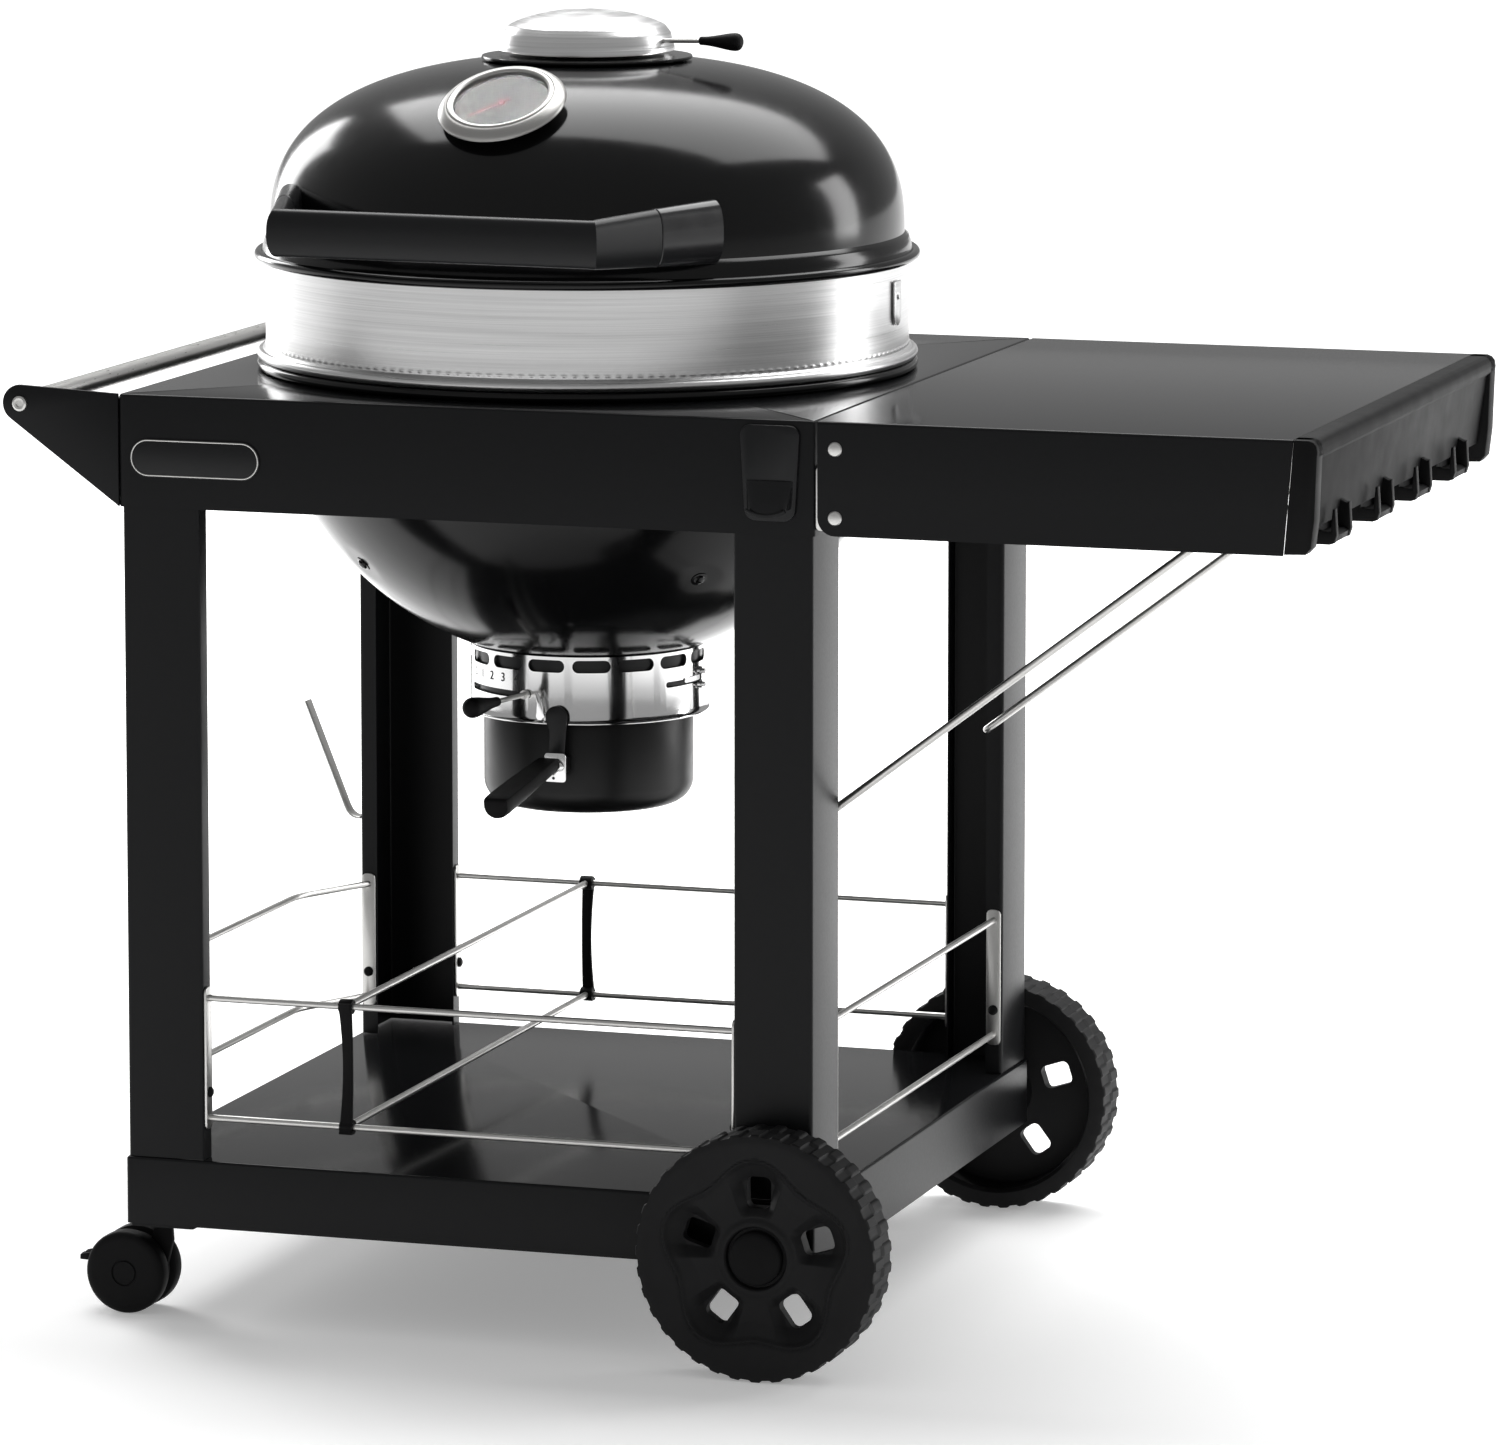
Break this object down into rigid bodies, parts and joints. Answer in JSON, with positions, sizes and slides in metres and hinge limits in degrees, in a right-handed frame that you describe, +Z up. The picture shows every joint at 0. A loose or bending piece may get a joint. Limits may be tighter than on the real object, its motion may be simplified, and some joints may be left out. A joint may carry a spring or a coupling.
{
  "type": "kettle charcoal grill cart",
  "caption": "Kettle charcoal grill with a lift-off lid and ring, set in a wheeled black cart with storage racks, an ash bucket and a folding side shelf with a wire brace.",
  "frame": {"origin": "on the floor, at the middle of the footprint of the whole object", "axes": "+X right along the cart towards the side shelf, +Y to the rear, +Z up; the front, with the thermometer and the ash bucket's handle, faces -Y"},
  "size_m": [1.1835, 0.788, 1.1434],
  "materials": {
    "powder_coat": "satin black powder coat",
    "black_enamel": "glossy black porcelain enamel",
    "brushed_steel": "brushed stainless steel",
    "polished_steel": "polished stainless steel",
    "rod_steel": "satin stainless rod",
    "satin_black": "satin black, slightly glossy",
    "moulded_black": "matt black moulded plastic",
    "tyre_black": "matt black moulded wheel",
    "cast_iron": "dark bare cast iron",
    "dial_face": "printed black dial",
    "pointer_red": "red pointer",
    "clear_glass": "clear glass"
  },
  "bodies": {
    "cart": {"deck_pan": "powder_coat", "leg_front_left": "powder_coat", "leg_front_right": "powder_coat", "leg_rear_left": "powder_coat", "leg_rear_right": "powder_coat", "table_top": "powder_coat", "handle_bracket_front": "powder_coat", "handle_bracket_rear": "powder_coat", "cart_handle": "brushed_steel", "bottle_opener": "satin_black", "badge_plate": "powder_coat", "rack_front": "rod_steel", "rack_rear": "rod_steel", "rack_left": "rod_steel", "rack_right": "rod_steel", "lid_hook": "rod_steel", "axle": "polished_steel", "shelf_bracket_front": "brushed_steel", "shelf_bracket_rear": "brushed_steel", "bowl": "black_enamel", "ash_collar": "polished_steel"},
    "ring": {"ring_band": "brushed_steel", "spit_bracket_left": "brushed_steel", "spit_bracket_right": "brushed_steel"},
    "lid": {"lid_shell": "black_enamel", "lid_handle": "satin_black", "handle_ferrule_left": "satin_black", "handle_ferrule_right": "satin_black", "thermometer_housing": "brushed_steel", "thermometer_dial": "dial_face", "thermometer_glass": "clear_glass", "vent_base": "satin_black", "vent_cap": "brushed_steel"},
    "vent_damper": {"vent_damper": "brushed_steel", "vent_grip": "moulded_black"},
    "thermometer_pointer": {"thermometer_pointer": "pointer_red"},
    "cooking_grate": {"cooking_grate": "rod_steel"},
    "charcoal_grate": {"charcoal_grate": "rod_steel"},
    "ash_sweeper": {"ash_sweeper": "cast_iron", "sweeper_grip": "moulded_black"},
    "ash_bucket": {"ash_bucket": "black_enamel", "bucket_bracket": "satin_black", "bucket_plate": "polished_steel", "bucket_handle": "moulded_black"},
    "bucket_latch": {"bucket_latch": "polished_steel"},
    "side_shelf": {"side_shelf": "powder_coat", "shelf_end_cap": "moulded_black", "brace_keeper": "brushed_steel"},
    "shelf_brace": {"shelf_brace": "rod_steel"},
    "divider": {"rack_divider": "moulded_black"},
    "wheel_front": {"wheel_front": "tyre_black", "wheel_cap_front": "tyre_black"},
    "wheel_rear": {"wheel_rear": "tyre_black", "wheel_cap_rear": "tyre_black"},
    "caster_front_swivel": {"caster_front_hood": "moulded_black"},
    "caster_front_wheel": {"caster_front_wheel": "moulded_black"},
    "caster_front_brake": {"caster_front_brake": "moulded_black"},
    "caster_rear_swivel": {"caster_rear_hood": "moulded_black"},
    "caster_rear_wheel": {"caster_rear_wheel": "moulded_black"},
    "caster_rear_brake": {"caster_rear_brake": "moulded_black"}
  },
  "joints": [
    {"name": "ring_lift", "type": "slide", "parent": "cart", "child": "ring", "axis": [0, 0, 1], "range_m": [0, 0.25]},
    {"name": "lid_lift", "type": "slide", "parent": "ring", "child": "lid", "axis": [0, 0, 1], "range_m": [0, 0.3]},
    {"name": "vent_turn", "type": "hinge", "parent": "lid", "child": "vent_damper", "pos_m": [-0.16475, 0, 1.1052], "axis": [0, 0, 1], "range_deg": [-60, 0]},
    {"name": "thermometer_turn", "type": "hinge", "parent": "lid", "child": "thermometer_pointer", "pos_m": [-0.1702, -0.20502, 1.06606], "axis": [-0.0271, -0.4841, 0.8746], "range_deg": [-150, 90]},
    {"name": "cooking_grate_lift", "type": "slide", "parent": "cart", "child": "cooking_grate", "axis": [0, 0, 1], "range_m": [0, 0.08]},
    {"name": "charcoal_grate_lift", "type": "slide", "parent": "cart", "child": "charcoal_grate", "axis": [0, 0, 1], "range_m": [0, 0.08]},
    {"name": "ash_sweep", "type": "hinge", "parent": "cart", "child": "ash_sweeper", "pos_m": [-0.16475, 0, 0.53794], "axis": [0, 0, 1], "range_deg": [-45, 0]},
    {"name": "ash_bucket_drop", "type": "slide", "parent": "cart", "child": "ash_bucket", "axis": [0, 0, -1], "range_m": [0, 0.12]},
    {"name": "bucket_latch_turn", "type": "hinge", "parent": "cart", "child": "bucket_latch", "pos_m": [-0.17095, -0.106, 0.52194], "axis": [0, -1, 0], "range_deg": [0, 80]},
    {"name": "shelf_fold", "type": "hinge", "parent": "cart", "child": "side_shelf", "pos_m": [0.17125, 0, 0.741], "axis": [0, 1, 0], "range_deg": [0, 90]},
    {"name": "brace_swing", "type": "hinge", "parent": "cart", "child": "shelf_brace", "pos_m": [0.13595, 0, 0.469], "axis": [0, 1, 0], "range_deg": [0, 123]},
    {"name": "divider_slide", "type": "slide", "parent": "cart", "child": "divider", "axis": [1, 0, 0], "range_m": [-0.115, 0.34]},
    {"name": "wheel_front_roll", "type": "hinge", "parent": "cart", "child": "wheel_front", "pos_m": [0.11825, -0.338, 0.108], "axis": [0, 1, 0], "continuous": true},
    {"name": "wheel_rear_roll", "type": "hinge", "parent": "cart", "child": "wheel_rear", "pos_m": [0.11825, 0.338, 0.108], "axis": [0, 1, 0], "continuous": true},
    {"name": "caster_front_swivel", "type": "hinge", "parent": "cart", "child": "caster_front_swivel", "pos_m": [-0.46375, -0.29, 0.0842], "axis": [0, 0, 1], "continuous": true},
    {"name": "caster_front_roll", "type": "hinge", "parent": "caster_front_swivel", "child": "caster_front_wheel", "pos_m": [-0.49275, -0.29, 0.037], "axis": [0, 1, 0], "continuous": true},
    {"name": "caster_front_brake_press", "type": "hinge", "parent": "caster_front_swivel", "child": "caster_front_brake", "pos_m": [-0.50675, -0.29, 0.056], "axis": [0, -1, 0], "range_deg": [0, 10]},
    {"name": "caster_rear_swivel", "type": "hinge", "parent": "cart", "child": "caster_rear_swivel", "pos_m": [-0.46375, 0.29, 0.0842], "axis": [0, 0, 1], "continuous": true},
    {"name": "caster_rear_roll", "type": "hinge", "parent": "caster_rear_swivel", "child": "caster_rear_wheel", "pos_m": [-0.49275, 0.29, 0.037], "axis": [0, 1, 0], "continuous": true},
    {"name": "caster_rear_brake_press", "type": "hinge", "parent": "caster_rear_swivel", "child": "caster_rear_brake", "pos_m": [-0.50675, 0.29, 0.056], "axis": [0, -1, 0], "range_deg": [0, 10]}
  ],
  "couplings": [
    {"joint": "brace_swing", "follows": "shelf_fold", "ratio": 1.359}
  ]
}
